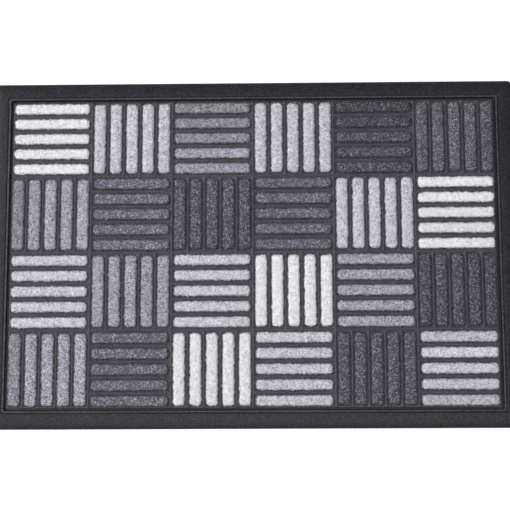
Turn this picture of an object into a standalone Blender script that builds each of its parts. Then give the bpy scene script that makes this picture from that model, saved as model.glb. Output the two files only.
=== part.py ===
"""Moulded rubber door mat with carpet blocks laid in a basket weave.

The rubber base is a shallow tray with a ramped border, a groove and a raised lip. Each carpet block is a
thin carrier with five raised pile bars, and neighbouring blocks turn their bars a quarter turn. A lattice
of rubber ribs lies over the carriers: it stands on the tray's floor between the blocks, and a rib runs
between every two bars. Nothing moves. Metres, +Z up, +X along the mat, and the origin is at the middle of
the underside.
"""

import math

import bmesh
import bpy
from mathutils import Matrix, Vector

MM = 0.001

# Outline and the weave's count
MAT_LENGTH = 600 * MM
MAT_WIDTH = 400 * MM
CORNER_RADIUS = 6 * MM
COLUMNS = 6
ROWS = 4
BARS_PER_BLOCK = 5

# Border of the rubber base, from the outline inwards
EDGE_HEIGHT = 2.0 * MM
RAMP_WIDTH = 16.3 * MM
RAMP_TOP = 6.0 * MM
GROOVE_WIDTH = 1.2 * MM
GROOVE_DEPTH = 0.8 * MM
LIP_WIDTH = 2.5 * MM
LIP_TOP = 6.6 * MM
LIP_ROUND = 0.5 * MM
DRAFT = 0.2 * MM
FLOOR_THICKNESS = 2.4 * MM
FLASH = 2.0 * MM

# Rib lattice
RIB_WIDTH = 1.4 * MM
RIB_HEIGHT = 2.2 * MM
BAR_RIB_DROP = 0.2 * MM
RIB_TO_WALL = 2.0 * MM

# Carpet blocks
CARRIER_THICKNESS = 0.8 * MM
PILE_HEIGHT = 4.5 * MM
BAR_MARGIN = 2.8 * MM
BAR_CORNER = 3.5 * MM
BAR_EDGE = 1.0 * MM

# Clearance between pieces that the press bonds together
BOND_GAP = 0.3 * MM
CORNER_STEPS = 2
OUTLINE_STEPS = 4

# Heights and plan sizes that follow from the values above
BORDER_WIDTH = RAMP_WIDTH + GROOVE_WIDTH + LIP_WIDTH
FIELD_LENGTH = MAT_LENGTH - 2 * (BORDER_WIDTH + RIB_TO_WALL)
FIELD_WIDTH = MAT_WIDTH - 2 * (BORDER_WIDTH + RIB_TO_WALL)
BLOCK_LENGTH = FIELD_LENGTH / COLUMNS
BLOCK_WIDTH = FIELD_WIDTH / ROWS
CARRIER_BOTTOM = FLOOR_THICKNESS + BOND_GAP
CARRIER_TOP = CARRIER_BOTTOM + CARRIER_THICKNESS
RIB_BOTTOM = CARRIER_TOP + BOND_GAP
RIB_TOP = RIB_BOTTOM + RIB_HEIGHT
PILE_TOP = CARRIER_TOP + PILE_HEIGHT

RUBBER_COLOUR = (0.045, 0.045, 0.05)
PILE_COLOURS = {
    "white": (0.76, 0.76, 0.79),
    "light_grey": (0.53, 0.52, 0.57),
    "mid_grey": (0.33, 0.32, 0.37),
    "dark_grey": (0.16, 0.155, 0.19),
    "charcoal": (0.095, 0.09, 0.115),
}
# One letter for each block, in rows from the +Y side: the first letter of its pile's colour
WEAVE = (
    "WLMLCD",
    "MDCDLW",
    "LMLWMC",
    "MDWLCL",
)


def clear_scene():
    """Remove every object that the scene starts with."""
    for obj in list(bpy.data.objects):
        bpy.data.objects.remove(obj, do_unlink=True)


def new_collection(name):
    """A collection of the scene's own."""
    made = bpy.data.collections.new(name)
    bpy.context.scene.collection.children.link(made)
    return made


def new_material(name, colour, roughness):
    """A plain Principled material."""
    made = bpy.data.materials.new(name)
    made.use_nodes = True
    shader = made.node_tree.nodes["Principled BSDF"]
    shader.inputs["Base Color"].default_value = (*colour, 1)
    shader.inputs["Roughness"].default_value = roughness
    shader.inputs["Metallic"].default_value = 0
    made.diffuse_color = (*colour, 1)
    return made


def rectangle(length, width, radius, steps, centre=(0.0, 0.0)):
    """Points of a rectangle whose corners are arcs of so many steps."""
    points = []
    for corner, (side_x, side_y) in enumerate(((1, 1), (-1, 1), (-1, -1), (1, -1))):
        middle = Vector((side_x * (length / 2 - radius), side_y * (width / 2 - radius)))
        for step in range(steps + 1):
            turn = math.radians(90) * (corner + step / steps)
            points.append(Vector(centre) + middle + radius * Vector((math.cos(turn), math.sin(turn))))
    return points


def plate_from_outline(name, outline, bottom, top):
    """A flat plate with this outline, as a mesh object."""
    curve = bpy.data.curves.new(name, "CURVE")
    curve.dimensions = "2D"
    curve.fill_mode = "BOTH"
    curve.extrude = (top - bottom) / 2
    spline = curve.splines.new("POLY")
    spline.points.add(len(outline) - 1)
    spline.use_cyclic_u = True
    for point, place in zip(spline.points, outline):
        point.co = (place.x, place.y, 0, 1)
    drawn = bpy.data.objects.new(name + "_outline", curve)
    drawn.location.z = (bottom + top) / 2
    bpy.context.scene.collection.objects.link(drawn)
    return mesh_in_place_of(drawn, name)


def mesh_in_place_of(source, name):
    """A mesh object with the evaluated shape of another object, which it replaces."""
    bpy.context.view_layer.update()
    graph = bpy.context.evaluated_depsgraph_get()
    mesh = bpy.data.meshes.new_from_object(source.evaluated_get(graph))
    mesh.name = name
    shape = bmesh.new()
    shape.from_mesh(mesh)
    bmesh.ops.transform(shape, matrix=source.matrix_world, verts=shape.verts)
    bmesh.ops.remove_doubles(shape, verts=shape.verts, dist=0.001 * MM)
    shape.to_mesh(mesh)
    shape.free()
    bpy.data.objects.remove(source, do_unlink=True)
    made = bpy.data.objects.new(name, mesh)
    bpy.context.scene.collection.objects.link(made)
    return made


def object_of(name, shape):
    """A mesh object of a finished bmesh, which is freed."""
    mesh = bpy.data.meshes.new(name)
    shape.to_mesh(mesh)
    shape.free()
    made = bpy.data.objects.new(name, mesh)
    bpy.context.scene.collection.objects.link(made)
    return made


def boxes(name, sizes_and_centres):
    """One mesh object of separate boxes, each given as its size and its centre."""
    shape = bmesh.new()
    for size, centre in sizes_and_centres:
        place = Matrix.Translation(centre) @ Matrix.Diagonal((*size, 1))
        bmesh.ops.create_cube(shape, size=1, matrix=place)
    return object_of(name, shape)


def combine(target, other, operation):
    """Add an exact Boolean of two mesh objects to the first and hide the second as a helper."""
    boolean = target.modifiers.new(operation.lower(), "BOOLEAN")
    boolean.operation = operation
    boolean.solver = "EXACT"
    boolean.object = other
    other.hide_render = True
    other.display_type = "WIRE"
    for held in list(other.users_collection):
        held.objects.unlink(other)
    helpers.objects.link(other)


def finish(obj, material):
    """Put a piece in the mat's collection, under its empty, with its material."""
    for held in list(obj.users_collection):
        held.objects.unlink(obj)
    door_mat.objects.link(obj)
    obj.parent = root
    if not obj.data.materials:
        obj.data.materials.append(None)
    obj.material_slots[0].link = "OBJECT"
    obj.material_slots[0].material = material


def border_profile():
    """(distance in from the outline, height) of the border's lines, from the ramp's top to the floor."""
    groove_end = RAMP_WIDTH + GROOVE_WIDTH
    groove_floor = RAMP_TOP - GROOVE_DEPTH
    return (
        (RAMP_WIDTH, RAMP_TOP),
        (RAMP_WIDTH + DRAFT, groove_floor),
        (groove_end - DRAFT, groove_floor),
        (groove_end, LIP_TOP - LIP_ROUND),
        (groove_end + LIP_ROUND, LIP_TOP),
        (BORDER_WIDTH - LIP_ROUND, LIP_TOP),
        (BORDER_WIDTH, LIP_TOP - LIP_ROUND),
        (BORDER_WIDTH + DRAFT, FLOOR_THICKNESS),
    )


def build_rubber_base():
    """The tray. It is moulded with a flash beyond the outline, where the ramp runs on, and cut to it."""
    ramp_slope = (RAMP_TOP - EDGE_HEIGHT) / RAMP_WIDTH
    flash_height = EDGE_HEIGHT - FLASH * ramp_slope
    blank = (MAT_LENGTH + 2 * FLASH, MAT_WIDTH + 2 * FLASH, flash_height)
    base = boxes("rubber_base", [(blank, (0, 0, flash_height / 2))])
    shape = bmesh.new()
    shape.from_mesh(base.data)
    inner = max(shape.faces, key=lambda face: face.calc_center_median().z)
    reached, height = -FLASH, flash_height
    for distance, level in border_profile():
        bmesh.ops.inset_region(
            shape, faces=[inner], thickness=distance - reached, use_even_offset=True, use_boundary=True
        )
        bmesh.ops.translate(shape, verts=inner.verts, vec=(0, 0, level - height))
        reached, height = distance, level
    shape.to_mesh(base.data)
    shape.free()
    outline = rectangle(MAT_LENGTH, MAT_WIDTH, CORNER_RADIUS, OUTLINE_STEPS)
    die = plate_from_outline("outline_die", outline, -FLASH, LIP_TOP + FLASH)
    combine(base, die, "INTERSECT")
    return base


def block_centre(row, column):
    """Middle of a block in plan, with row 0 at the +Y side and column 0 at the -X side."""
    x = (column + 0.5) * BLOCK_LENGTH - FIELD_LENGTH / 2
    y = FIELD_WIDTH / 2 - (row + 0.5) * BLOCK_WIDTH
    return Vector((x, y))


def bars_lie_along_x(row, column):
    """The basket weave: every other block's bars lie along X, and the rest lie along Y."""
    return (row + column) % 2 == 0


def rib_edges(length, count):
    """The edges of the ribs across one side of the field, in order, where the ribs part so many blocks."""
    middles = [length * (place / count - 0.5) for place in range(count + 1)]
    return [middle + side * RIB_WIDTH / 2 for middle in middles for side in (-1, 1)]


def block_frame(name, bottom, top):
    """The ribs round every block: a grid on their edges, less its faces over the blocks, made thick."""
    edges_x = rib_edges(FIELD_LENGTH, COLUMNS)
    edges_y = rib_edges(FIELD_WIDTH, ROWS)
    steps_x, steps_y = len(edges_x) - 1, len(edges_y) - 1
    shape = bmesh.new()
    bmesh.ops.create_grid(shape, x_segments=steps_x, y_segments=steps_y, size=0.5)
    blocks = []
    for face in shape.faces:
        middle = face.calc_center_median()
        if int((middle.x + 0.5) * steps_x) % 2 and int((middle.y + 0.5) * steps_y) % 2:
            blocks.append(face)
    bmesh.ops.delete(shape, geom=blocks, context="FACES")
    for vert in shape.verts:
        x = edges_x[round((vert.co.x + 0.5) * steps_x)]
        y = edges_y[round((vert.co.y + 0.5) * steps_y)]
        vert.co = (x, y, bottom)
    raised = bmesh.ops.extrude_face_region(shape, geom=list(shape.faces))
    tops = [part for part in raised["geom"] if isinstance(part, bmesh.types.BMVert)]
    bmesh.ops.translate(shape, verts=tops, vec=(0, 0, top - bottom))
    bmesh.ops.recalc_face_normals(shape, faces=shape.faces)
    return object_of(name, shape)


def build_rib_lattice():
    """Ribs round every block, down to the tray's floor, and lower ribs over the carriers between bars."""
    short_ribs = []
    short_height = RIB_HEIGHT - BAR_RIB_DROP
    rib_middle = RIB_BOTTOM + short_height / 2
    for row in range(ROWS):
        for column in range(COLUMNS):
            centre = block_centre(row, column)
            for rib in range(1, BARS_PER_BLOCK):
                share = rib / BARS_PER_BLOCK - 0.5
                if bars_lie_along_x(row, column):
                    size = (BLOCK_LENGTH, RIB_WIDTH, short_height)
                    place = (centre.x, centre.y + share * BLOCK_WIDTH, rib_middle)
                else:
                    size = (RIB_WIDTH, BLOCK_WIDTH, short_height)
                    place = (centre.x + share * BLOCK_LENGTH, centre.y, rib_middle)
                short_ribs.append((size, place))
    lattice = block_frame("rib_lattice", CARRIER_BOTTOM, RIB_TOP)
    combine(lattice, boxes("bar_ribs", short_ribs), "UNION")
    return lattice


def pile_bar(name, length, width, centre):
    """One raised bar with round corners in plan and a soft upper edge. Its foot is inside the carrier."""
    foot = CARRIER_BOTTOM + CARRIER_THICKNESS / 2
    outline = rectangle(length, width, BAR_CORNER, CORNER_STEPS, centre)
    bar = plate_from_outline(name, outline, foot, PILE_TOP)
    shape = bmesh.new()
    shape.from_mesh(bar.data)
    bmesh.ops.dissolve_limit(shape, angle_limit=math.radians(1), verts=shape.verts, edges=shape.edges)
    top = max(shape.faces, key=lambda face: face.calc_center_median().z)
    bmesh.ops.bevel(
        shape, geom=list(top.edges), offset=BAR_EDGE, offset_type="OFFSET", segments=1, affect="EDGES"
    )
    shape.to_mesh(bar.data)
    shape.free()
    return bar


def build_block_mesh(along_x):
    """The shape of a carpet block round its own middle: a flat carrier and five bars in one piece."""
    side_gap = RIB_WIDTH / 2 + BOND_GAP
    carrier_size = (BLOCK_LENGTH - 2 * side_gap, BLOCK_WIDTH - 2 * side_gap, CARRIER_THICKNESS)
    carrier = boxes("carrier", [(carrier_size, (0, 0, (CARRIER_BOTTOM + CARRIER_TOP) / 2))])
    across = BLOCK_WIDTH if along_x else BLOCK_LENGTH
    pitch = across / BARS_PER_BLOCK
    bars = []
    for index in range(BARS_PER_BLOCK):
        shift = (index + 0.5) * pitch - across / 2
        if along_x:
            size = (BLOCK_LENGTH - 2 * BAR_MARGIN, pitch - 2 * BAR_MARGIN)
            centre = (0, shift)
        else:
            size = (pitch - 2 * BAR_MARGIN, BLOCK_WIDTH - 2 * BAR_MARGIN)
            centre = (shift, 0)
        bars.append(pile_bar(f"bar_{index + 1}", *size, centre))
    for bar in bars:
        combine(carrier, bar, "UNION")
    block = mesh_in_place_of(carrier, "block_along_x" if along_x else "block_along_y")
    for bar in bars:
        bpy.data.objects.remove(bar, do_unlink=True)
    mesh = block.data
    bpy.data.objects.remove(block, do_unlink=True)
    mesh.shade_smooth()
    mesh.set_sharp_from_angle(angle=math.radians(50))
    return mesh


def build_carpet_blocks():
    """All the blocks. Those whose bars lie the same way share one mesh and differ in colour."""
    pile = {name[0].upper(): new_material(f"pile_{name}", rgb, 0.95) for name, rgb in PILE_COLOURS.items()}
    mesh_along_x = build_block_mesh(True)
    mesh_along_y = build_block_mesh(False)
    for row in range(ROWS):
        for column in range(COLUMNS):
            mesh = mesh_along_x if bars_lie_along_x(row, column) else mesh_along_y
            block = bpy.data.objects.new(f"carpet_block_r{row + 1}c{column + 1}", mesh)
            block.location = (*block_centre(row, column), 0)
            finish(block, pile[WEAVE[row][column]])


clear_scene()
door_mat = new_collection("door_mat")
helpers = new_collection("helpers")
helpers.hide_render = True
root = bpy.data.objects.new("door_mat_origin", None)
door_mat.objects.link(root)
rubber = new_material("moulded_rubber", RUBBER_COLOUR, 0.6)
finish(build_rubber_base(), rubber)
finish(build_rib_lattice(), rubber)
build_carpet_blocks()
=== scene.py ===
"""Looks of a moulded rubber door mat with carpet bars in a basket weave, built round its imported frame.

The rubber base, the net of ribs and every carpet block are surfaces worked out on grids. The pile is a soft
crowned body for each bar with thousands of short fibres standing on it.
"""

from __future__ import annotations

import logging
import math
from dataclasses import dataclass, field
from enum import Enum

import bpy
import numpy as np
from mathutils import Matrix, Vector


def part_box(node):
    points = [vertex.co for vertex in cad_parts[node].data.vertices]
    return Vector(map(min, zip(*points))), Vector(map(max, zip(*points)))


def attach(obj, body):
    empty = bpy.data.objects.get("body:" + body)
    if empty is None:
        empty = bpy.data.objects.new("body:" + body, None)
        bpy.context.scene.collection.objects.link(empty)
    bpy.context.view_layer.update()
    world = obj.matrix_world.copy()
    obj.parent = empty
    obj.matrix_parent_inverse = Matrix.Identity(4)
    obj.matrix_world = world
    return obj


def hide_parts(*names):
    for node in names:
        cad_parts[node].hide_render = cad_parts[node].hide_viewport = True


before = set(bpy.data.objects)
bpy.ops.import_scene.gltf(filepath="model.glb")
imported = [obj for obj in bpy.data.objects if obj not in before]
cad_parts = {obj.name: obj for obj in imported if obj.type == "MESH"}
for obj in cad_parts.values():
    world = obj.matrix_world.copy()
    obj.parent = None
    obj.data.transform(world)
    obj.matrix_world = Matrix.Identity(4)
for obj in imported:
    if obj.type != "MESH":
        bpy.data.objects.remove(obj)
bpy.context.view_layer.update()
LOG = logging.getLogger("door_mat")
MM = 0.001
BODY = "root"
COLUMNS = 6
ROWS = 4
BARS = 5
# Seeds of the noises and of the random draws
PRESS_SEED = 11
RIB_SEED = 21
NAP_SEEDS = (31, 37)
LUMP_SEED = 40
TUFT_SEED = 43
FRAY_SEED = 50
YARN_SEED = 1000


class Weave(Enum):
    """The way a block's bars lie."""

    ALONG_X = 0
    ALONG_Y = 1

    @staticmethod
    def at(row: int, column: int) -> Weave:
        """The basket weave: neighbouring blocks turn their bars a quarter turn."""
        return Weave.ALONG_X if (row + column) % 2 == 0 else Weave.ALONG_Y


# ---------------------------------------------------------------- shapes


def value_noise(points: np.ndarray, cell: float, seed: int) -> np.ndarray:
    """Smooth noise from -1 to 1: random values on a cubic lattice, blended between its corners.

    The blend is a smoothstep of the place in the cell: three times its square less twice its cube.

    Args:
        points: (N, 3) places in metres.
        cell: Spacing of the lattice in metres.
        seed: Seed of the lattice's values.

    Returns:
        (N,) values.
    """
    size = 64
    table = np.random.default_rng(seed).uniform(-1, 1, (size, size, size))
    place = points / cell
    low = np.floor(place).astype(int)
    part = place - low
    part = part * part * (3 - 2 * part)
    total = np.zeros(len(points))
    for corner in np.ndindex(2, 2, 2):
        offset = np.array(corner)
        weight = np.where(offset, part, 1 - part).prod(axis=1)
        i, j, k = ((low + offset) % size).T
        total += weight * table[i, j, k]
    return total


@dataclass
class Surface:
    """Patches of points and triangles that are welded into one mesh where they meet."""

    points: list[np.ndarray] = field(default_factory=list)
    triangles: list[np.ndarray] = field(default_factory=list)
    count: int = 0
    weld_distance: float = 1e-7

    def add(self, points: np.ndarray, triangles: np.ndarray) -> None:
        """Adds a patch of (N, 3) points and (T, 3) triangles."""
        self.points.append(points.reshape(-1, 3))
        self.triangles.append(triangles.reshape(-1, 3) + self.count)
        self.count += len(self.points[-1])

    def add_grid(self, grid: np.ndarray, round_it: bool = False, keep: np.ndarray | None = None) -> None:
        """Adds a (P, N, 3) grid. Its faces look along the cross product of its first and second directions.

        Args:
            grid: Points of the grid.
            round_it: True if the second direction closes on itself.
            keep: Mask of the (P - 1, N - 1 or N) faces that are made, or None for all.
        """
        rows, columns = grid.shape[:2]
        index = np.arange(rows * columns).reshape(rows, columns)
        if round_it:
            index = np.concatenate([index, index[:, :1]], axis=1)
        a, b, c, d = index[:-1, :-1], index[1:, :-1], index[1:, 1:], index[:-1, 1:]
        keep = np.ones(a.shape, bool) if keep is None else keep
        a, b, c, d = a[keep], b[keep], c[keep], d[keep]
        self.add(grid, np.concatenate([np.stack([a, b, c], 1), np.stack([a, c, d], 1)]))

    def welded(self) -> tuple[np.ndarray, np.ndarray]:
        """All points, each once, and the triangles that still have three corners."""
        points = np.concatenate(self.points)
        triangles = np.concatenate(self.triangles)
        rounded = np.round(points / self.weld_distance)
        _, first, index = np.unique(rounded, axis=0, return_index=True, return_inverse=True)
        triangles = index.reshape(-1)[triangles]
        a, b, c = triangles.T
        return points[first], triangles[(a != b) & (b != c) & (c != a)]


def mesh_object(name: str, points: np.ndarray, triangles: np.ndarray) -> bpy.types.Object:
    """A smooth-shaded mesh object of triangles, which rides on the mat's body.

    Args:
        name: Name of the piece.
        points: (N, 3) places in metres.
        triangles: (T, 3) indices, anticlockwise from outside.

    Returns:
        The object, in the scene.
    """
    mesh = bpy.data.meshes.new(name)
    mesh.vertices.add(len(points))
    mesh.vertices.foreach_set("co", points.astype(np.float32).ravel())
    mesh.loops.add(triangles.size)
    mesh.loops.foreach_set("vertex_index", triangles.astype(np.int32).ravel())
    mesh.polygons.add(len(triangles))
    mesh.polygons.foreach_set("loop_start", np.arange(0, triangles.size, 3, dtype=np.int32))
    mesh.polygons.foreach_set("use_smooth", np.ones(len(triangles), bool))
    mesh.update(calc_edges=True)
    mesh.validate()
    made = bpy.data.objects.new(name, mesh)
    bpy.context.scene.collection.objects.link(made)
    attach(made, BODY)
    return made


def ring(half_x: np.ndarray, half_y: np.ndarray, radius: np.ndarray, runs: tuple, arc: int) -> np.ndarray:
    """Rounded rectangles, one for each entry of the sizes, anticlockwise from the lower end of the +X side.

    Each has four straight runs, sampled at given shares of their length, and four quarter circles, sampled
    at equal turns.

    Args:
        half_x: (P,) half lengths.
        half_y: (P,) half widths.
        radius: (P,) corner radii.
        runs: Shares from 0 to 1 along the X sides, and along the Y sides.
        arc: Steps in each corner.

    Returns:
        (P, N, 2) places.
    """
    half_x, half_y, radius = (np.asarray(v, float)[:, None] for v in (half_x, half_y, radius))
    along_x, along_y = (np.asarray(r, float)[None, :] for r in runs)
    turn = np.linspace(0, np.pi / 2, arc + 1)[None, 1:-1]
    inner_x, inner_y = half_x - radius, half_y - radius
    parts = []
    for quarter, (side_x, side_y) in enumerate(((1, 1), (-1, 1), (-1, -1), (1, -1))):
        if quarter % 2 == 0:
            straight = np.broadcast_arrays(side_x * half_x, side_y * inner_y * (2 * along_y - 1))
        else:
            straight = np.broadcast_arrays(side_x * inner_x * (2 * along_x - 1), side_y * half_y)
        angle = quarter * np.pi / 2 + turn
        round_x = side_x * inner_x + radius * np.cos(angle)
        round_y = side_y * inner_y + radius * np.sin(angle)
        parts += [np.stack(straight, axis=2), np.stack([round_x, round_y], axis=2)]
    return np.concatenate(parts, axis=1)


def smooth_profile(points: list[tuple[float, float, float]], steps: int = 3) -> np.ndarray:
    """A profile of straight runs whose corners are rounded by quadratic curves.

    Args:
        points: (distance, height, rounding) of each corner, where rounding is the length that the curve
            takes from the runs at its sides. Ends have no rounding.
        steps: Steps in each rounding.

    Returns:
        (P, 2) distances and heights.
    """
    places = np.array([p[:2] for p in points], float)
    out = [places[0]]
    for before, here, after, corner in zip(places, places[1:], places[2:], points[1:-1]):
        into, onward = before - here, after - here
        near, far = np.linalg.norm(into), np.linalg.norm(onward)
        start = here + into / near * min(corner[2], near / 2)
        end = here + onward / far * min(corner[2], far / 2)
        share = np.linspace(0, 1, steps + 1)[:, None]
        out.extend((1 - share) ** 2 * start + 2 * share * (1 - share) * here + share**2 * end)
    out.append(places[-1])
    return np.array(out)


# ---------------------------------------------------------------- finishes


# Cells in a metre of the noises that break up painted highlights, drift through the yarn, tint it and tangle
# it
PATCH_SCALE = 350.0
DRIFT_SCALE = 130.0
TINT_SCALE = 150.0
TANGLE_SCALE = 2200.0


class Nodes:
    """Places shader nodes in a tree, each from its type, its settings and its inputs."""

    def __init__(self, tree: bpy.types.NodeTree) -> None:
        """Keeps the tree that the nodes go in."""
        self.tree = tree

    def add(self, kind: str, settings: dict | None = None, **inputs: object) -> bpy.types.Node:
        """A node of this type.

        Args:
            kind: Blender's name for the type.
            settings: Properties of the node.
            **inputs: Values or sockets for its inputs, by name with _ for a space, or by number as i0, i1.

        Returns:
            The node.
        """
        node = self.tree.nodes.new(kind)
        for name, value in (settings or {}).items():
            setattr(node, name, value)
        for name, value in inputs.items():
            socket = node.inputs[int(name[1:]) if name[1:].isdigit() else name.replace("_", " ")]
            if isinstance(value, bpy.types.NodeSocket):
                self.tree.links.new(value, socket)
            else:
                socket.default_value = value
        return node

    def math(self, operation: str, a: object, b: object = 0.0, clamp: bool = False) -> bpy.types.NodeSocket:
        """The result of a Math node."""
        settings = {"operation": operation, "use_clamp": clamp}
        return self.add("ShaderNodeMath", settings, i0=a, i1=b).outputs[0]

    def mix(self, factor: object, a: object, b: object, blend: str = "MIX") -> bpy.types.NodeSocket:
        """The colour result of a Mix node."""
        node = self.add("ShaderNodeMix", {"data_type": "RGBA", "blend_type": blend}, i0=factor, i6=a, i7=b)
        return node.outputs[2]

    def spread(self, value: object, low: float, high: float) -> bpy.types.NodeSocket:
        """A value from 0 to 1 laid out from low to high."""
        return self.add("ShaderNodeMapRange", None, Value=value, To_Min=low, To_Max=high).outputs[0]

    def shaded(self, colour: object, shade: object) -> bpy.types.NodeSocket:
        """A colour times a grey."""
        grey = self.add("ShaderNodeCombineColor", None, Red=shade, Green=shade, Blue=shade)
        return self.mix(1.0, colour, grey.outputs[0], "MULTIPLY")

    def noise(self, place: object, scale: object, detail: float, roughness: float) -> bpy.types.NodeSocket:
        """A soft noise round 0.5, with this many cells in a metre."""
        sizes = {"Scale": scale, "Detail": detail, "Roughness": roughness}
        return self.add("ShaderNodeTexNoise", None, Vector=place, **sizes).outputs["Fac"]


def new_group(name: str, inputs: dict[str, float], outputs: dict[str, str]) -> bpy.types.NodeTree:
    """An empty shader group.

    Args:
        name: Name of the group.
        inputs: Names and default values of its inputs, all plain numbers.
        outputs: Names and socket types of its outputs.

    Returns:
        The group's tree, with its two end nodes.
    """
    group = bpy.data.node_groups.new(name, "ShaderNodeTree")
    for label, value in inputs.items():
        socket = group.interface.new_socket(label, in_out="INPUT", socket_type="NodeSocketFloat")
        socket.default_value = value
    for label, kind in outputs.items():
        group.interface.new_socket(label, in_out="OUTPUT", socket_type=kind)
    group.nodes.new("NodeGroupInput")
    group.nodes.new("NodeGroupOutput")
    return group


def mottle_group() -> bpy.types.NodeTree:
    """Unevenness of pressed rubber: three noises for soft clouds, small specks and a height of grain."""
    group = new_group(
        "mottle",
        {"Cloud Size": 12 * MM, "Speck Size": 1.5 * MM, "Grain Size": 0.6 * MM},
        {"Cloud": "NodeSocketFloat", "Speck": "NodeSocketFloat", "Grain": "NodeSocketFloat"},
    )
    nodes = Nodes(group)
    given = group.nodes["Group Input"].outputs
    place = nodes.add("ShaderNodeTexCoord").outputs["Object"]
    out = group.nodes["Group Output"].inputs
    for name, detail, roughness in (("Cloud", 4.0, 0.65), ("Speck", 1.0, 0.5), ("Grain", 2.0, 0.5)):
        scale = nodes.math("DIVIDE", 1.0, given[f"{name} Size"])
        group.links.new(nodes.noise(place, scale, detail, roughness), out[name])
    return group


def painted_light_group() -> bpy.types.NodeTree:
    """Painted highlight by height: a mask that is 0 up to one height, 1 from another, and broken up by small
    noise.
    """
    group = new_group("painted_light", {"From Height": 0.0, "To Height": 1.0}, {"Painted Light": "NodeSocketFloat"})
    nodes = Nodes(group)
    given = group.nodes["Group Input"].outputs
    place = nodes.add("ShaderNodeTexCoord").outputs["Object"]
    height = nodes.add("ShaderNodeSeparateXYZ", None, Vector=place).outputs["Z"]
    mask = nodes.add("ShaderNodeMapRange", None, Value=height, From_Min=given[0], From_Max=given[1])
    patches = nodes.spread(nodes.noise(place, PATCH_SCALE, 2.0, 0.6), 0.5, 1.5)
    broken = nodes.math("MULTIPLY", mask.outputs[0], patches, clamp=True)
    group.links.new(broken, group.nodes["Group Output"].inputs["Painted Light"])
    return group


def heather_group() -> bpy.types.NodeTree:
    """The mix of a heather yarn: flecks of a second colour, shades of clumps, drifts of tint, and a tangle.

    A clump is flecked where its lot, drawn for the clump and partly for the strand, is under the share of
    flecks. Its shade is 1 plus the contrast times the sum of its draw, the strand's and a soft noise.
    """
    strand_share = 0.25
    fleck_edge = 12.0
    drift_share = 1.6
    group = new_group(
        "heather",
        {"Clump Size": 0.9 * MM, "Fleck Share": 0.3, "Contrast": 0.3},
        dict.fromkeys(("Fleck", "Shade", "Tint", "Tangle"), "NodeSocketFloat"),
    )
    nodes = Nodes(group)
    given = group.nodes["Group Input"].outputs
    place = nodes.add("ShaderNodeTexCoord").outputs["Object"]
    strand = nodes.add("ShaderNodeAttribute", {"attribute_name": "strand"}).outputs["Fac"]
    scale = nodes.math("DIVIDE", 1.0, given["Clump Size"])
    clump = nodes.add("ShaderNodeTexVoronoi", {"feature": "F1"}, Vector=place, Scale=scale, Randomness=1.0)
    pick = nodes.add("ShaderNodeSeparateColor", None, Color=clump.outputs["Color"])
    by_clump = nodes.math("MULTIPLY", pick.outputs[0], 1 - strand_share)
    by_strand = nodes.math("MULTIPLY", strand, strand_share)
    chosen = nodes.math("SUBTRACT", given["Fleck Share"], nodes.math("ADD", by_clump, by_strand))
    fleck = nodes.math("MULTIPLY", chosen, fleck_edge, clamp=True)
    lots = nodes.noise(place, TINT_SCALE, 2.0, 0.7)
    tint = nodes.add("ShaderNodeMapRange", None, Value=lots, From_Min=0.35, From_Max=0.65)
    fine = nodes.math("SUBTRACT", nodes.math("ADD", pick.outputs[1], strand), 1.0)
    wide = nodes.math("SUBTRACT", nodes.noise(place, DRIFT_SCALE, 3.0, 0.6), 0.5)
    both = nodes.math("ADD", fine, nodes.math("MULTIPLY", wide, drift_share))
    shade = nodes.math("ADD", 1.0, nodes.math("MULTIPLY", both, given["Contrast"]))
    out = group.nodes["Group Output"].inputs
    group.links.new(fleck, out["Fleck"])
    group.links.new(shade, out["Shade"])
    group.links.new(tint.outputs[0], out["Tint"])
    group.links.new(nodes.noise(place, TANGLE_SCALE, 2.0, 0.6), out["Tangle"])
    return group


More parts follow.
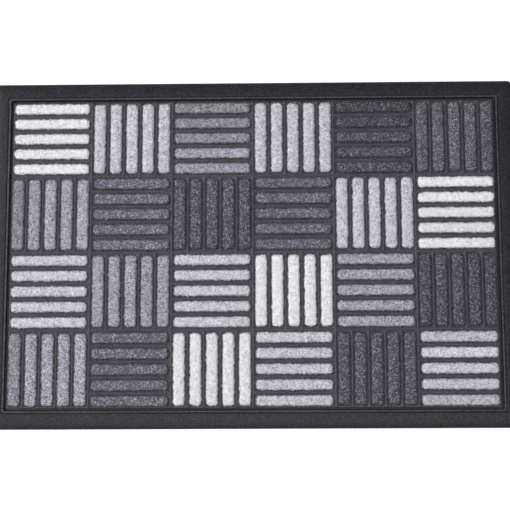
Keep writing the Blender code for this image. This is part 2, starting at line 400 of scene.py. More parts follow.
@dataclass(frozen=True)
class RubberFinish:
    """Pressed rubber: satin, nearly black, cloudy, specked, fine grained, with a painted highlight above a
    height.
    """

    name: str
    colour: tuple[float, float, float]
    painted_light_colour: tuple[float, float, float]
    painted_light_heights: tuple[float, float]
    cloudy: float = 0.2
    specked: float = 0.9
    roughness: float = 0.56
    roughness_range: float = 0.14
    specular: float = 0.31
    cloud_size: float = 14 * MM
    speck_size: float = 1.6 * MM
    grain_size: float = 0.7 * MM
    grain_height: float = 0.09 * MM
    grain_strength: float = 0.5

    def material(self, mottle: bpy.types.NodeTree, painted_light: bpy.types.NodeTree) -> bpy.types.Material:
        """The material, with the groups of clouds and of painted light by height in it.

        Args:
            mottle: The group of clouds, specks and grain.
            painted_light: The group of the mask of heights that get the painted highlight.

        Returns:
            The material.
        """
        made = bpy.data.materials.new(self.name)
        made.use_nodes = True
        nodes = Nodes(made.node_tree)
        shader = made.node_tree.nodes["Principled BSDF"]
        sizes = {"Cloud_Size": self.cloud_size, "Speck_Size": self.speck_size, "Grain_Size": self.grain_size}
        uneven = nodes.add("ShaderNodeGroup", {"node_tree": mottle}, **sizes)
        # Above these heights the colour is painted lighter as a highlight of lit tops; lower rubber keeps the
        # darker colour as painted shade
        low, high = self.painted_light_heights
        painted_light_mask = nodes.add("ShaderNodeGroup", {"node_tree": painted_light}, From_Height=low, To_Height=high)
        plain = nodes.mix(painted_light_mask.outputs["Painted Light"], (*self.colour, 1), (*self.painted_light_colour, 1))
        clouds = nodes.spread(uneven.outputs["Cloud"], 1 - 2 * self.cloudy, 1 + 2 * self.cloudy)
        specks = nodes.spread(uneven.outputs["Speck"], 1 - 2 * self.specked, 1 + 2 * self.specked)
        colour = nodes.shaded(plain, nodes.math("MULTIPLY", clouds, specks))
        half = self.roughness_range / 2
        rough = nodes.spread(uneven.outputs["Cloud"], self.roughness - half, self.roughness + half)
        bump = nodes.add("ShaderNodeBump", None, Height=uneven.outputs["Grain"], Distance=self.grain_height)
        bump.inputs["Strength"].default_value = self.grain_strength
        links = made.node_tree.links
        links.new(colour, shader.inputs["Base Color"])
        links.new(rough, shader.inputs["Roughness"])
        links.new(bump.outputs["Normal"], shader.inputs["Normal"])
        shader.inputs["Specular IOR Level"].default_value = self.specular
        return made


@dataclass(frozen=True)
class PileFinish:
    """Heather carpet pile: a base colour, flecks of a second one, painted shade at the roots, and a tangle of
    fibres.
    """

    slot: str
    colour: tuple[float, float, float]
    fleck: tuple[float, float, float]
    fleck_share: float
    contrast: float
    tinted: float = 1.0
    warm_tint: tuple[float, float, float] = (1.0, 1.01, 0.95)
    cool_tint: tuple[float, float, float] = (1.0, 0.98, 1.06)
    # Painted shade and highlight by reach: roots and the bars' lower flanks darker, fibre tips lighter
    root_painted_shade: float = 0.72
    tip_painted_highlight: float = 1.08
    tangle_height: float = 0.25 * MM
    tangle_strength: float = 0.7
    roughness: float = 0.95
    specular: float = 0.15
    sheen: float = 0.12
    sheen_roughness: float = 0.5

    def material(self, heather: bpy.types.NodeTree) -> bpy.types.Material:
        """The pile's material.

        Args:
            heather: The group of flecks, shades, tints and tangle.

        Returns:
            The material.
        """
        made = bpy.data.materials.new(self.slot)
        made.use_nodes = True
        nodes = Nodes(made.node_tree)
        shader = made.node_tree.nodes["Principled BSDF"]
        yarn = {"Fleck_Share": self.fleck_share, "Contrast": self.contrast}
        group = nodes.add("ShaderNodeGroup", {"node_tree": heather}, **yarn)
        reach = nodes.add("ShaderNodeAttribute", {"attribute_name": "reach"}).outputs["Fac"]
        dye = nodes.add("ShaderNodeAttribute", {"attribute_name": "dye"}).outputs["Fac"]
        mixed = nodes.mix(group.outputs["Fleck"], (*self.colour, 1), (*self.fleck, 1))
        # Painted shade by reach: darker at the roots and low on the bars, lighter at the fibre tips
        depth = nodes.math("MULTIPLY", dye, nodes.spread(reach, self.root_painted_shade, self.tip_painted_highlight))
        shaded = nodes.shaded(mixed, nodes.math("MULTIPLY", group.outputs["Shade"], depth))
        tint = nodes.mix(group.outputs["Tint"], (*self.warm_tint, 1), (*self.cool_tint, 1))
        colour = nodes.mix(self.tinted, shaded, tint, "MULTIPLY")
        bump = nodes.add("ShaderNodeBump", None, Height=group.outputs["Tangle"], Distance=self.tangle_height)
        bump.inputs["Strength"].default_value = self.tangle_strength
        made.node_tree.links.new(colour, shader.inputs["Base Color"])
        made.node_tree.links.new(bump.outputs["Normal"], shader.inputs["Normal"])
        shader.inputs["Roughness"].default_value = self.roughness
        shader.inputs["Specular IOR Level"].default_value = self.specular
        shader.inputs["Sheen Weight"].default_value = self.sheen
        shader.inputs["Sheen Roughness"].default_value = self.sheen_roughness
        return made


class Pile(Enum):
    """The five shades of pile, by the letter that stands for them in the mat's plan."""

    W = PileFinish("pile_white", (0.88, 0.87, 0.90), (0.66, 0.65, 0.69), 0.3, 0.1, tinted=0.3)
    L = PileFinish("pile_light_grey", (0.72, 0.708, 0.76), (0.38, 0.37, 0.42), 0.35, 0.28, tinted=0.5)
    M = PileFinish("pile_mid_grey", (0.50, 0.485, 0.545), (0.165, 0.155, 0.205), 0.38, 0.46, tinted=0.8)
    D = PileFinish("pile_dark_grey", (0.138, 0.133, 0.167), (0.45, 0.435, 0.50), 0.33, 0.48)
    C = PileFinish("pile_charcoal", (0.083, 0.079, 0.102), (0.325, 0.315, 0.375), 0.33, 0.46)


# The mat's plan: a row of blocks for each line, from the far side, and a letter of Pile for each block
PLAN = (
    "WLMLCD",
    "MDCDLW",
    "LMLWMC",
    "MDWLCL",
)
# Dye lots: the shades of whole blocks, and of the five bars of the blocks that took the dye unevenly
BLOCK_DYE = {"r2c2": 1.08, "r2c3": 1.06, "r2c6": 1.04, "r3c5": 1.08, "r4c3": 0.95, "r4c5": 1.04}
BAR_DYE = {
    "r1c3": (0.8, 0.85, 0.85, 1.05, 1.0),
    "r1c5": (0.75, 0.85, 1.0, 1.0, 0.93),
    "r1c6": (0.8, 0.88, 0.92, 0.85, 0.72),
    "r2c1": (0.75, 0.95, 1.05, 1.0, 1.05),
    "r2c4": (0.9, 1.05, 1.0, 1.0, 0.92),
    "r3c6": (0.88, 0.95, 0.98, 0.9, 0.82),
    "r4c1": (0.75, 1.0, 1.05, 1.05, 1.08),
    "r4c6": (0.93, 1.12, 1.02, 0.95, 0.83),
}
EVEN_DYE = (1.0,) * BARS
# The lip's top, above 6.3 mm, is painted lighter as a highlight
BORDER_RUBBER = RubberFinish(
    "moulded_rubber",
    colour=(0.0165, 0.0160, 0.0228),
    painted_light_colour=(0.057, 0.056, 0.069),
    painted_light_heights=(6.3 * MM, 6.6 * MM),
)
# The land and ribs, above 3.3 mm, are painted lighter as a highlight; the low rim beside the lip keeps the
# dark colour as painted shade
RIB_RUBBER = RubberFinish(
    "pressed_rubber",
    colour=(0.024, 0.023, 0.028),
    painted_light_colour=(0.076, 0.072, 0.087),
    painted_light_heights=(3.3 * MM, 4.6 * MM),
    specked=0.5,
    roughness=0.7,
)
SOAKED_CARPET = RubberFinish(
    "soaked_carpet",
    colour=(0.028, 0.028, 0.03),
    painted_light_colour=(0.028, 0.028, 0.03),
    painted_light_heights=(0.0, 1.0),
    roughness=0.85,
    grain_height=0.15 * MM,
)


# ---------------------------------------------------------------- pieces


@dataclass
class RubberBase:
    """The tray: a ramped border with a groove and a lip, a sunken floor, and a waffle underneath."""

    corner_radius: float = 6 * MM
    edge_height: float = 2 * MM
    ramp_width: float = 16.8 * MM
    ramp_top: float = 6 * MM
    groove_width: float = 1.2 * MM
    groove_depth: float = 0.8 * MM
    lip_width: float = 2.5 * MM
    inner_radius: float = 2 * MM
    floor: float = 2.4 * MM
    under_margin: float = 12 * MM
    waffle_cells: tuple[int, int] = (36, 23)
    waffle_depth: float = 0.4 * MM
    waffle_groove: float = 2.0 * MM
    groove_reach: float = 0.9
    groove_roundness: float = 0.7
    flat_rim: float = 1 * MM
    corner_steps: int = 8
    waviness: float = 0.07 * MM
    wave_length: float = 35 * MM

    def __post_init__(self) -> None:
        """Reads the outer size and the lip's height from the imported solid."""
        low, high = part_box("rubber_base")
        self.half = (high.x, high.y)
        self.lip_top = high.z
        self.recess = self.ramp_width + self.groove_width + self.lip_width

    def border_profile(self) -> np.ndarray:
        """The border's section, from the underside out to the outline, over the lip and down to the floor.

        Each corner has its distance in from the outline, its height and its rounding.

        Returns:
            (P, 2) distances and heights.
        """
        groove_floor = self.ramp_top - self.groove_depth
        groove_end = self.ramp_width + self.groove_width
        corners = [
            (self.under_margin, 0, 0),
            (0.5 * MM, 0, 0.3 * MM),
            (0, 0.5 * MM, 0.3 * MM),
            (0, self.edge_height - 0.3 * MM, 0.3 * MM),
            (0.9 * MM, self.edge_height + 0.6 * MM, 1.2 * MM),
            (0.22 * self.ramp_width, self.ramp_top - 1.8 * MM, 3 * MM),
            (0.55 * self.ramp_width, self.ramp_top - 0.6 * MM, 5 * MM),
            (self.ramp_width, self.ramp_top, 0.3 * MM),
            (self.ramp_width + 0.2 * MM, groove_floor, 0.3 * MM),
            (groove_end - 0.2 * MM, groove_floor, 0.3 * MM),
            (groove_end, self.lip_top - 0.5 * MM, 0.3 * MM),
            (groove_end + 0.6 * MM, self.lip_top, 0.4 * MM),
            (self.recess - 0.6 * MM, self.lip_top, 0.4 * MM),
            (self.recess, self.lip_top - 0.8 * MM, 0.4 * MM),
            (self.recess + 0.2 * MM, self.floor, 0.3 * MM),
            (self.recess + 1.2 * MM, self.floor, 0),
        ]
        return smooth_profile(corners)

    def waffle_lines(self, length: float, cells: int) -> np.ndarray:
        """Where the waffle's lines lie: a groove's middle, halfway up its slope and the slope's end.

        Args:
            length: Length of the side.
            cells: Number of pads along it.

        Returns:
            Shares of the side, from 0 to 1.
        """
        pitch = length / cells
        steps = np.array([0, 0.5 * self.waffle_groove, self.groove_reach * self.waffle_groove]) / pitch
        inside = (np.arange(cells)[:, None] + np.concatenate([steps, 1 - steps[:0:-1]])[None]) / cells
        return np.append(inside.ravel(), 1.0)

    def build(self) -> bpy.types.Object:
        """The tray as one closed mesh: rings of the border's section, a fan for the floor, and the waffle.

        A ring's corner radius runs from the outer to the inner one by its share of the border's width. The
        pressed surface waves by a smooth noise.
        """
        inset, height = self.border_profile().T
        half_x, half_y = self.half
        under_x, under_y = half_x - self.under_margin, half_y - self.under_margin
        sides = (under_x, under_y)
        shares = [self.waffle_lines(2 * side, cells) for side, cells in zip(sides, self.waffle_cells)]
        deep = np.clip(inset / self.recess, 0, 1)
        radius = self.corner_radius * (1 - deep) + self.inner_radius * deep
        radius[0] = 0
        plan = ring(half_x - inset, half_y - inset, radius, tuple(shares), self.corner_steps)
        rings = np.concatenate([plan, np.broadcast_to(height[:, None, None], (*plan.shape[:2], 1))], axis=2)
        flat = rings.reshape(-1, 3)
        visible = (flat[:, 2] > self.edge_height) * np.clip(flat[:, 2] / self.ramp_top, 0, 1)
        flat[:, 2] += visible * self.waviness * value_noise(flat * (1, 1, 0), self.wave_length, PRESS_SEED)
        surface = Surface()
        surface.add_grid(rings[:, ::-1], round_it=True)
        xs, ys = (side * (2 * share - 1) for side, share in zip(sides, shares))
        surface.add_grid(self.waffle(xs, ys))
        inner = rings[-1]
        middle = np.append(inner[:, :2].mean(axis=0), self.floor)
        count = len(inner)
        fan = np.stack([np.arange(count), (np.arange(count) + 1) % count, np.full(count, count)], axis=1)
        surface.add(np.vstack([inner, middle]), fan)
        made = mesh_object("rubber_base_moulding", *surface.welded())
        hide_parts("rubber_base")
        return made

    def waffle(self, xs: np.ndarray, ys: np.ndarray) -> np.ndarray:
        """The underside's grid: pads at floor level, parted by round-bottomed grooves every pitch each way.

        A groove's depth is a power of 1 less the distance from its middle line over the length of its slope.

        Args:
            xs: Places of the lines along X.
            ys: Places of the lines along Y.

        Returns:
            (X, Y, 3) points, whose faces look down.
        """
        depth = []
        for places, cells in zip((xs, ys), self.waffle_cells):
            pitch = (places[-1] - places[0]) / cells
            away = np.abs((places - places[0] + pitch / 2) % pitch - pitch / 2)
            groove = np.clip(1 - away / (self.groove_reach * self.waffle_groove), 0, 1)
            inner = np.abs(places) < places[-1] - pitch / 2
            depth.append(self.waffle_depth * groove**self.groove_roundness * inner)
        x, y = np.meshgrid(xs, ys, indexing="ij")
        z = np.maximum(depth[0][:, None], depth[1][None, :])
        inside = (np.abs(x) < xs[-1] - self.flat_rim) & (np.abs(y) < ys[-1] - self.flat_rim)
        z = np.where(inside, z, 0)
        return np.stack([x, y, z], axis=2)[:, ::-1]


@dataclass
class RibNet:
    """Thin rubber ribs round every block and between the bars, on a land with openings for the bars.

    A rib's section is its share of the height at distances in millimetres from its middle line. A low rim
    takes the place of the outermost ribs.
    """

    rib_width: float = 1.4 * MM
    rib_drop: float = 0.2 * MM
    section_mm: tuple[float, ...] = (0.4, 0.7, 1.2)
    section_share: tuple[float, ...] = (1, 0.75, 0)
    foot_reach: float = 0.7 * MM
    rim_top: float = 3.0 * MM
    rim: float = 1.2 * MM
    rim_wall: float = 0.1 * MM
    land: float = 4.4 * MM
    under: float = 3.6 * MM
    opening_margin: float = 3.3 * MM
    unevenness: float = 0.06
    wave_length: float = 9 * MM

    def __post_init__(self) -> None:
        """Reads the net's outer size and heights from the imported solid."""
        low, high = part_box("rib_lattice")
        self.foot, self.top = low.z, high.z
        self.half = (high.x - self.rib_width / 2, high.y - self.rib_width / 2)

    def lines(self, half: float, cells: int) -> np.ndarray:
        """Where the grid's lines lie along one side: over each rib's top and flanks, and at the openings.

        Args:
            half: Half the side, to the outermost ribs' middle lines.
            cells: Number of bars along it.

        Returns:
            Places from the lowest to the highest.
        """
        tolerance = 1e-9
        offsets = np.array([*self.section_mm, self.opening_margin / MM]) * MM
        offsets = np.concatenate([-offsets[::-1], offsets])
        middles = np.linspace(-half, half, cells + 1)
        places = (middles[:, None] + offsets[None]).ravel()
        edge = half + self.rib_width / 2
        places = np.sort(places[np.abs(places) <= edge + tolerance])
        # The two lines of each outermost rib's inner flank carry the rim's wall instead
        first, second = 3, 4
        places[first], places[second] = -half + self.rim, -half + self.rim + self.rim_wall
        places[-first - 1], places[-second - 1] = -places[first], -places[second]
        return places

    def rib(self, away: np.ndarray) -> np.ndarray:
        """A rib's section, from 1 on its top to 0 on the land, by the distance from its middle line."""
        return np.interp(away / MM, self.section_mm, self.section_share)

    def build(self) -> bpy.types.Object:
        """The net as one closed sheet: its top, its underside and the walls of its openings and rim.

        The top's height is the land's plus the larger rise of the ribs there, times a smooth noise.
        """
        half_x, half_y = self.half
        xs, ys = self.lines(half_x, COLUMNS * BARS), self.lines(half_y, ROWS * BARS)
        x, y = np.meshgrid(xs, ys, indexing="ij")
        to_x, to_y, to_bar_x, to_bar_y, along_x = self.surroundings(x, y)
        frame_rib = np.maximum(self.rib(to_x), self.rib(to_y))
        short_rib = np.where(along_x, self.rib(to_bar_y), self.rib(to_bar_x))
        frame_rise, short_rise = self.top - self.land, self.top - self.rib_drop - self.land
        rise = np.maximum(frame_rib * frame_rise, short_rib * short_rise)
        where = np.stack([x, y, np.zeros_like(x)], axis=2).reshape(-1, 3)
        rise *= 1 + self.unevenness * value_noise(where, self.wave_length, RIB_SEED).reshape(x.shape)
        on_rim = np.minimum(half_x - np.abs(x), half_y - np.abs(y)) < self.rim + self.rim_wall / 2
        height = np.where(on_rim, self.rim_top, np.minimum(self.land + rise, self.top))
        top = np.stack([x, y, height], axis=2)
        over_frame = np.minimum(to_x, to_y) < self.foot_reach
        bottom = np.stack([x, y, np.where(over_frame | on_rim, self.foot, self.under)], axis=2)
        keep = ~self.openings(xs, ys)
        surface = Surface()
        surface.add_grid(top, keep=keep)
        surface.add_grid(bottom[:, ::-1], keep=keep[:, ::-1])
        self.add_walls(surface, top, bottom, keep)
        made = mesh_object("rib_net", *surface.welded())
        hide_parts("rib_lattice")
        return made

    def surroundings(self, x: np.ndarray, y: np.ndarray) -> tuple[np.ndarray, ...]:
        """How places lie in the net.

        Args:
            x: Places along X.
            y: Places along Y.

        Returns:
            Distances to the nearest line between blocks across X and across Y, the same to the nearest line
            between bars, and True where the block's bars lie along X.
        """
        half_x, half_y = self.half
        to_x, column = self.nearest(x, half_x, COLUMNS)
        to_y, row = self.nearest(-y, half_y, ROWS)
        to_bar_x, _ = self.nearest(x, half_x, COLUMNS * BARS)
        to_bar_y, _ = self.nearest(-y, half_y, ROWS * BARS)
        return to_x, to_y, to_bar_x, to_bar_y, (row + column) % 2 == 0

    @staticmethod
    def nearest(place: np.ndarray, half: float, cells: int) -> tuple[np.ndarray, np.ndarray]:
        """The distance from each place to the nearest cell line, and the number of its cell."""
        pitch = 2 * half / cells
        share = (place + half) / pitch
        away = np.abs(share - np.round(share)) * pitch
        return away, np.clip(np.floor(share), 0, cells - 1).astype(int)

    def openings(self, xs: np.ndarray, ys: np.ndarray) -> np.ndarray:
        """Where the openings lie: inside a bar's cell, further than the margin from every line of it.

        Args:
            xs: Places of the grid's lines along X.
            ys: Places of the grid's lines along Y.

        Returns:
            Mask of the grid's faces.
        """
        x, y = np.meshgrid((xs[:-1] + xs[1:]) / 2, (ys[:-1] + ys[1:]) / 2, indexing="ij")
        half_x, half_y = self.half
        to_x, to_y, to_bar_x, to_bar_y, along_x = self.surroundings(x, y)
        away = np.where(along_x, np.minimum(to_x, to_bar_y), np.minimum(to_bar_x, to_y))
        inside = (np.abs(x) < half_x) & (np.abs(y) < half_y)
        return inside & (away > self.opening_margin)

    @staticmethod
    def add_walls(surface: Surface, top: np.ndarray, bottom: np.ndarray, keep: np.ndarray) -> None:
        """Adds the walls between the top and the underside wherever a kept face has no kept neighbour.

        Args:
            surface: The surface that takes the walls.
            top: (P, N, 3) points of the top.
            bottom: (P, N, 3) points of the underside.
            keep: Mask of the faces that both have.
        """
        framed = np.pad(keep, 1)
        for axis, side in ((0, -1), (0, 1), (1, -1), (1, 1)):
            open_side = keep & ~np.roll(framed, -side, axis=axis)[1:-1, 1:-1]
            i, j = np.nonzero(open_side)
            if axis == 0:
                i = i + (side > 0)
                first, second = (i, j), (i, j + 1)
                flip = side < 0
            else:
                j = j + (side > 0)
                first, second = (i, j), (i + 1, j)
                flip = side > 0
            a, b, c, d = bottom[first], bottom[second], top[second], top[first]
            quads = np.stack([a, b, c, d], axis=1)
            quads = quads[:, ::-1] if flip else quads
            start = np.arange(len(quads))[:, None] * 4
            surface.add(quads, np.concatenate([start + [[0, 1, 2]], start + [[0, 2, 3]]]))


@dataclass
class CarpetBlock:
    """One block of carpet: a thin carrier that lies on the tray's floor, and its five bars of pile."""

    row: int
    column: int
    carrier_steps: int = 16
    carrier_gap: float = 0.4 * MM
    carrier_thickness: float = 0.75 * MM
    weave_height: float = 0.04 * MM
    body_height: float = 7.1 * MM
    foot_lift: float = 0.6 * MM
    flank_height: float = 5.0 * MM
    flank_slant: float = 0.1 * MM
    edge_inset: float = 0.15 * MM
    edge_radius: float = 2.0 * MM
    edge_steps: int = 5
    crown: float = 0.25 * MM
    crown_steps: int = 4
    corner_radius: float = 3.4 * MM
    least_radius: float = 0.35 * MM
    bar_margin: float = 2.8 * MM
    side_insets: tuple[float, float] = (0.65 * MM, 0.3 * MM)
    end_insets: tuple[float, float] = (0.85 * MM, 1.2 * MM)
    grid_step: float = 1.3 * MM
    end_steps: int = 6
    corner_steps: int = 5
    lump: float = 0.2 * MM
    lump_size: float = 2.6 * MM
    fray: float = 0.95 * MM
    fray_size: float = 1.6 * MM
    fray_rise: float = 0.25
    rough_from: float = 4 * MM
    tuft_size: float = 1.4 * MM
    tuft_share: float = 0.75
    fibres_per_mm2: float = 1.85
    fibre_line: float = 4.2 * MM
    fibre_length: tuple[float, float] = (0.9 * MM, 1.9 * MM)
    fibre_width: tuple[float, float] = (0.15 * MM, 0.28 * MM)
    root_depth: float = 0.2 * MM
    # Reaches that set painted shade: fibre roots are painted dark, the body's flanks darker low down, its top
    # no lighter than body_reach
    root_reach: float = 0.25
    body_reach: float = 0.7
    reach_heights: tuple[float, float] = (3 * MM, 5 * MM)
    body_strand: float = 0.5
    lean: float = 0.75
    scatter: float = 0.6
    nap: float = 0.5
    nap_size: float = 7 * MM
    dye_spread: float = 0.02

    def __post_init__(self) -> None:
        """Reads the block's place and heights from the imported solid, and takes its finish from the plan."""
        self.name = f"r{self.row + 1}c{self.column + 1}"
        low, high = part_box(f"carpet_block_{self.name}")
        net_low, net_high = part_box("rib_lattice")
        rib = RibNet.rib_width
        self.centre = np.array([(low.x + high.x) / 2, (low.y + high.y) / 2])
        self.carrier_size = (high.x - low.x, high.y - low.y)
        self.bottom = low.z
        self.size = ((net_high.x - net_low.x - rib) / COLUMNS, (net_high.y - net_low.y - rib) / ROWS)
        self.weave = Weave.at(self.row, self.column)
        self.pile = Pile[PLAN[self.row][self.column]]
        self.rng = np.random.default_rng(YARN_SEED + 10 * self.row + self.column)

    def build(self) -> tuple[bpy.types.Object, bpy.types.Object]:
        """The carrier and the pile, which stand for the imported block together."""
        carrier = self.build_carrier()
        pile = self.build_pile()
        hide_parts(f"carpet_block_{self.name}")
        return carrier, pile

    def build_carrier(self) -> bpy.types.Object:
        """The carrier: a thin slab whose top waves as a plain weave does, by a product of two sines."""
        steps = self.carrier_steps
        half_x, half_y = (side / 2 - self.carrier_gap for side in self.carrier_size)
        s, t = np.meshgrid(np.linspace(-1, 1, steps + 1), np.linspace(-1, 1, steps + 1), indexing="ij")
        weave = np.sin(s * np.pi * steps / 2) * np.sin(t * np.pi * steps / 2)
        high = self.bottom + self.carrier_thickness
        top = np.stack([s * half_x, t * half_y, high + self.weave_height * weave], axis=2)
        under = np.stack([s * half_x, t * half_y, np.full_like(s, self.bottom)], axis=2)
        surface = Surface()
        surface.add_grid(top)
        surface.add_grid(under[:, ::-1])
        RibNet.add_walls(surface, top, under, np.ones((steps, steps), bool))
        points, triangles = surface.welded()
        points[:, :2] += self.centre
        return mesh_object(f"carrier_{self.name}", points, triangles)

    def bar_body(self, length: float, width: float) -> tuple[np.ndarray, np.ndarray]:
        """A bar round its own middle, along X: rings that climb its flank, turn over its edge and close in.

        The edge is a quarter circle. The crown rises from it to the middle by a parabola: 1 less the square of
        the share that is left.

        Args:
            length: Length of the bar's foot.
            width: Width of the bar's foot.

        Returns:
            Points and triangles.
        """
        middle_gap, slack, shrink = 0.4 * MM, 0.02 * MM, 0.7
        turn = np.linspace(0, np.pi / 2, self.edge_steps + 1)
        flank = np.array([[0, self.bottom + self.foot_lift], [self.flank_slant, self.flank_height]])
        edge_in = self.edge_inset + self.edge_radius * (1 - np.cos(turn))
        edge_up = self.body_height - self.edge_radius + self.edge_radius * np.sin(turn)
        last = width / 2 - middle_gap
        across = np.linspace(edge_in[-1], last, self.crown_steps + 1)[1:]
        share = (across - edge_in[-1]) / (last - edge_in[-1])
        crown = np.stack([across, self.body_height + self.crown * (1 - (1 - share) ** 2)], axis=1)
        edge = np.stack([edge_in, edge_up], axis=1)
        inset, height = np.concatenate([flank, edge, crown]).T
        radius = np.maximum(self.corner_radius - shrink * inset, self.least_radius)
        radius = np.minimum(radius, width / 2 - inset - slack)
        steps_x = max(2, round(length / self.grid_step))
        runs = (np.linspace(0, 1, steps_x + 1), np.linspace(0, 1, self.end_steps + 1))
        plan = ring(length / 2 - inset, width / 2 - inset, radius, runs, self.corner_steps)
        grid = np.concatenate([plan, np.broadcast_to(height[:, None, None], (*plan.shape[:2], 1))], axis=2)
        surface = Surface()
        surface.add_grid(grid[:, ::-1], round_it=True)
        # The foot and the top are closed by strips between the two halves of a ring, from the end's middle
        count = grid.shape[1]
        end_middle = self.end_steps // 2
        here = (end_middle + np.arange(count // 2 + 1)) % count
        there = (end_middle - np.arange(count // 2 + 1)) % count
        quads = np.stack([here[:-1], here[1:], there[1:], there[:-1]], axis=1)
        cap = np.concatenate([quads[:, [0, 1, 2]], quads[:, [0, 2, 3]]])
        surface.add(grid[-1], cap)
        surface.add(grid[0], cap[:, ::-1])
        return surface.welded()

    def fibres(self, points: np.ndarray, triangles: np.ndarray) -> tuple[np.ndarray, ...]:
        """Short tapering fibres, each a closed four-sided splinter, spread evenly over the body.

        A fibre's root is a small triangle just under the surface. Its tip stands along the surface's normal,
        leant over by a random amount and by a nap that turns slowly along the bar. Its random length is
        multiplied by 1 plus a share of a smooth noise, so that neighbours make a tuft.

        Args:
            points: The body's points.
            triangles: The body's triangles.

        Returns:
            Points, triangles, each point's strand value and each point's reach.
        """
        a, b, c = (points[triangles[:, k]] for k in range(3))
        normal = np.cross(b - a, c - a)
        area = np.linalg.norm(normal, axis=1) / 2
        least_area = 1e-18
        normal /= np.maximum(2 * area[:, None], least_area)
        middle_height = (a[:, 2] + b[:, 2] + c[:, 2]) / 3
        weight = area * (middle_height > self.fibre_line)
        count = int(weight.sum() / MM**2 * self.fibres_per_mm2)
        picked = self.rng.choice(len(area), count, p=weight / weight.sum())
        u, v = self.rng.random((2, count, 1))
        u, v = np.where(u + v > 1, 1 - u, u), np.where(u + v > 1, 1 - v, v)
        root = a[picked] + u * (b - a)[picked] + v * (c - a)[picked]
        along = normal[picked]
        turns = [value_noise(root, self.nap_size, seed) for seed in NAP_SEEDS]
        nap = np.stack([*turns, np.zeros(count)], axis=1)
        aim = along + self.lean * (self.rng.normal(0, self.scatter, (count, 3)) + self.nap * nap)
        aim /= np.linalg.norm(aim, axis=1, keepdims=True)
        tufted = 1 + self.tuft_share * value_noise(root, self.tuft_size, TUFT_SEED)[:, None]
        long = self.rng.uniform(*self.fibre_length, (count, 1)) * tufted
        wide = self.rng.uniform(*self.fibre_width, (count, 1))
        side = np.cross(aim, self.rng.normal(0, 1, (count, 3)))
        side /= np.linalg.norm(side, axis=1, keepdims=True)
        other = np.cross(aim, side)
        base = root - along * self.root_depth
        thirds = np.arange(3) * 2 * np.pi / 3
        corners = [base + wide * (math.cos(third) * side + math.sin(third) * other) for third in thirds]
        made = np.stack([*corners, root + aim * long], axis=1)
        start = np.arange(count)[:, None] * 4
        splinter = ((0, 2, 1), (0, 1, 3), (1, 2, 3), (2, 0, 3))
        faces = np.concatenate([start + np.array([face]) for face in splinter])
        strand = np.repeat(self.rng.random(count), 4)
        reach = np.tile([self.root_reach] * 3 + [1.0], count)
        return made.reshape(-1, 3), faces, strand, reach

    def roughen(self, points: np.ndarray) -> np.ndarray:
        """Moves the upper part of a bar by a coarse and a fine smooth noise, so that its edge frays.

        Args:
            points: (N, 3) places of the bar in its block.

        Returns:
            (N, 3) places.
        """
        apart = points + np.array([*self.centre, 0])
        upper = np.clip((points[:, 2] - self.rough_from) / MM, 0, 1)[:, None]
        lumps = [value_noise(apart, self.lump_size, LUMP_SEED + axis) for axis in range(3)]
        frays = [value_noise(apart, self.fray_size, FRAY_SEED + axis) for axis in range(3)]
        fine = self.fray * np.stack(frays, axis=1) * (1, 1, self.fray_rise)
        return points + upper * (self.lump * np.stack(lumps, axis=1) + fine)

    def build_pile(self) -> bpy.types.Object:
        """The five bars in one mesh: each a lumpy body and its fibres, turned and set in its cell.

        The points carry the strand's draw, the reach from 0 at the foot to 1 at a tip, and the bar's dye.
        """
        length_of, width_of = self.size if self.weave is Weave.ALONG_X else self.size[::-1]
        pitch = width_of / BARS
        length, width = length_of - 2 * self.bar_margin, pitch - 2 * self.bar_margin
        ends, sides = self.end_insets[self.weave.value], self.side_insets[self.weave.value]
        reach_from, reach_over = self.reach_heights
        surface = Surface()
        strands, reaches, dyes = [], [], []
        for index in range(BARS):
            points, triangles = self.bar_body(length - 2 * ends, width - 2 * sides)
            points = self.roughen(points + np.array([0, width_of / 2 - (index + 0.5) * pitch, 0]))
            hairs, faces, strand, reach = self.fibres(points, triangles)
            surface.add(points, triangles)
            surface.add(hairs, faces)
            dye = BLOCK_DYE.get(self.name, 1.0) * BAR_DYE.get(self.name, EVEN_DYE)[index]
            dye *= 1 + self.dye_spread * self.rng.normal()
            strands += [np.full(len(points), self.body_strand), strand]
            # The body's reach paints shade: darker low on the flanks
            reaches += [np.clip((points[:, 2] - reach_from) / reach_over, 0, self.body_reach), reach]
            dyes += [np.full(len(points) + len(hairs), dye)]
        places = np.concatenate(surface.points)
        if self.weave is Weave.ALONG_Y:
            places = places[:, [1, 0, 2]] * (-1, 1, 1)
        places[:, :2] += self.centre
        made = mesh_object(f"pile_{self.name}", places, np.concatenate(surface.triangles))
        for name, values in (("strand", strands), ("reach", reaches), ("dye", dyes)):
            attribute = made.data.attributes.new(name, "FLOAT", "POINT")
            attribute.data.foreach_set("value", np.concatenate(values).astype(np.float32))
        return made


# ---------------------------------------------------------------- studio


@dataclass(frozen=True)
class Softbox:
    """A square area light that looks at the mat's middle."""

    name: str
    place: tuple[float, float, float]
    size: float
    power: float

    def build(self) -> None:
        """Puts the light into the scene."""
        data = bpy.data.lights.new(self.name, "AREA")
        data.size = self.size
        data.energy = self.power
        made = bpy.data.objects.new(self.name, data)
        made.location = self.place
        made.rotation_euler = (-Vector(self.place)).to_track_quat("-Z", "Y").to_euler()
        bpy.context.scene.collection.objects.link(made)


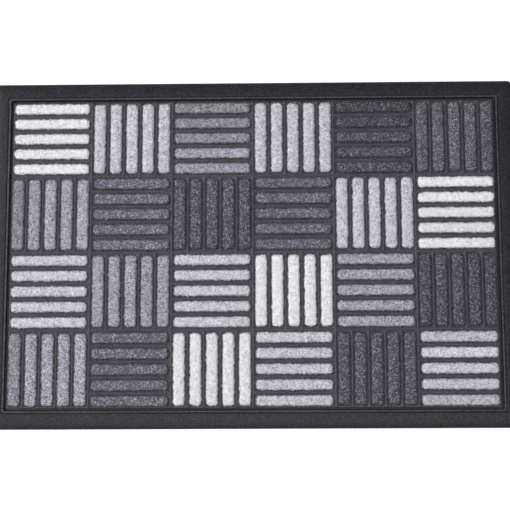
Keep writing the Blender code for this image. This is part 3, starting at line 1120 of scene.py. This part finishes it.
@dataclass
class Studio:
    """A pale floor, soft lights and the camera."""

    lens: float = 104.8
    distance: float = 1.6928
    tilt: float = -10.08
    yaw: float = -1.14
    roll: float = 0.15
    sensor: float = 36.0
    offset: tuple[float, float] = (-2.2 * MM, 2.7 * MM)
    world: float = 0.2
    lights: tuple[Softbox, ...] = (
        Softbox("key", (-2.1, 0.55, 1.45), 0.35, 40.0),
        Softbox("overhead", (-0.05, -0.5, 1.8), 1.3, 22.3),
    )
    floor_size: float = 12.0
    floor_gap: float = 0.2 * MM
    floor_grey: float = 0.93
    floor_roughness: float = 0.8
    floor_glow: float = 0.3

    def build(self) -> None:
        """Makes the floor, the lights and the camera."""
        self.floor()
        for light in self.lights:
            light.build()
        world = bpy.data.worlds.new("studio")
        world.use_nodes = True
        world.node_tree.nodes["Background"].inputs["Color"].default_value = (1, 1, 1, 1)
        world.node_tree.nodes["Background"].inputs["Strength"].default_value = self.world
        bpy.context.scene.world = world
        bpy.context.scene.view_settings.view_transform = "Standard"
        self.camera()

    def floor(self) -> None:
        """A wide pale floor just under the mat, which glows a little so that it stays white."""
        corners = np.array([[-1, -1, 0], [1, -1, 0], [1, 1, 0], [-1, 1, 0]]) * self.floor_size
        mesh = bpy.data.meshes.new("floor")
        mesh.from_pydata(corners.tolist(), [], [(0, 1, 2, 3)])
        made = bpy.data.objects.new("floor", mesh)
        made.location.z = -self.floor_gap
        bpy.context.scene.collection.objects.link(made)
        material = bpy.data.materials.new("pale_floor")
        material.use_nodes = True
        shader = material.node_tree.nodes["Principled BSDF"]
        shader.inputs["Base Color"].default_value = (self.floor_grey,) * 3 + (1,)
        shader.inputs["Roughness"].default_value = self.floor_roughness
        shader.inputs["Emission Color"].default_value = (1, 1, 1, 1)
        shader.inputs["Emission Strength"].default_value = self.floor_glow
        made.data.materials.append(material)

    def camera(self) -> None:
        """The camera nearly overhead, leaning a little towards the mat's near side."""
        data = bpy.data.cameras.new("camera")
        data.lens = self.lens
        data.sensor_width = self.sensor
        made = bpy.data.objects.new("camera", data)
        turn = (
            Matrix.Rotation(math.radians(self.roll), 4, "Z")
            @ Matrix.Rotation(math.radians(self.tilt), 4, "X")
            @ Matrix.Rotation(math.radians(self.yaw), 4, "Y")
        )
        made.matrix_world = (Matrix.Translation((*self.offset, -self.distance)) @ turn).inverted()
        bpy.context.scene.collection.objects.link(made)
        bpy.context.scene.camera = made


def report(piece: bpy.types.Object) -> None:
    """Logs a piece's name and its number of triangles."""
    LOG.info("%s: %d triangles", piece.name, len(piece.data.polygons))


def main() -> None:
    """Builds the studio, the rubber and the carpet, in that order."""
    logging.basicConfig(level=logging.INFO, format="%(message)s")
    Studio().build()
    mottle, painted_light, heather = mottle_group(), painted_light_group(), heather_group()
    soaked = SOAKED_CARPET.material(mottle, painted_light)
    for part, finish in ((RubberBase(), BORDER_RUBBER), (RibNet(), RIB_RUBBER)):
        piece = part.build()
        piece.data.materials.append(finish.material(mottle, painted_light))
        report(piece)
    finishes = {pile: pile.value.material(heather) for pile in Pile}
    for row in range(ROWS):
        for column in range(COLUMNS):
            block = CarpetBlock(row, column)
            carrier, pile = block.build()
            carrier.data.materials.append(soaked)
            pile.data.materials.append(finishes[block.pile])
            report(carrier)
            report(pile)


if __name__ == "__main__":
    main()
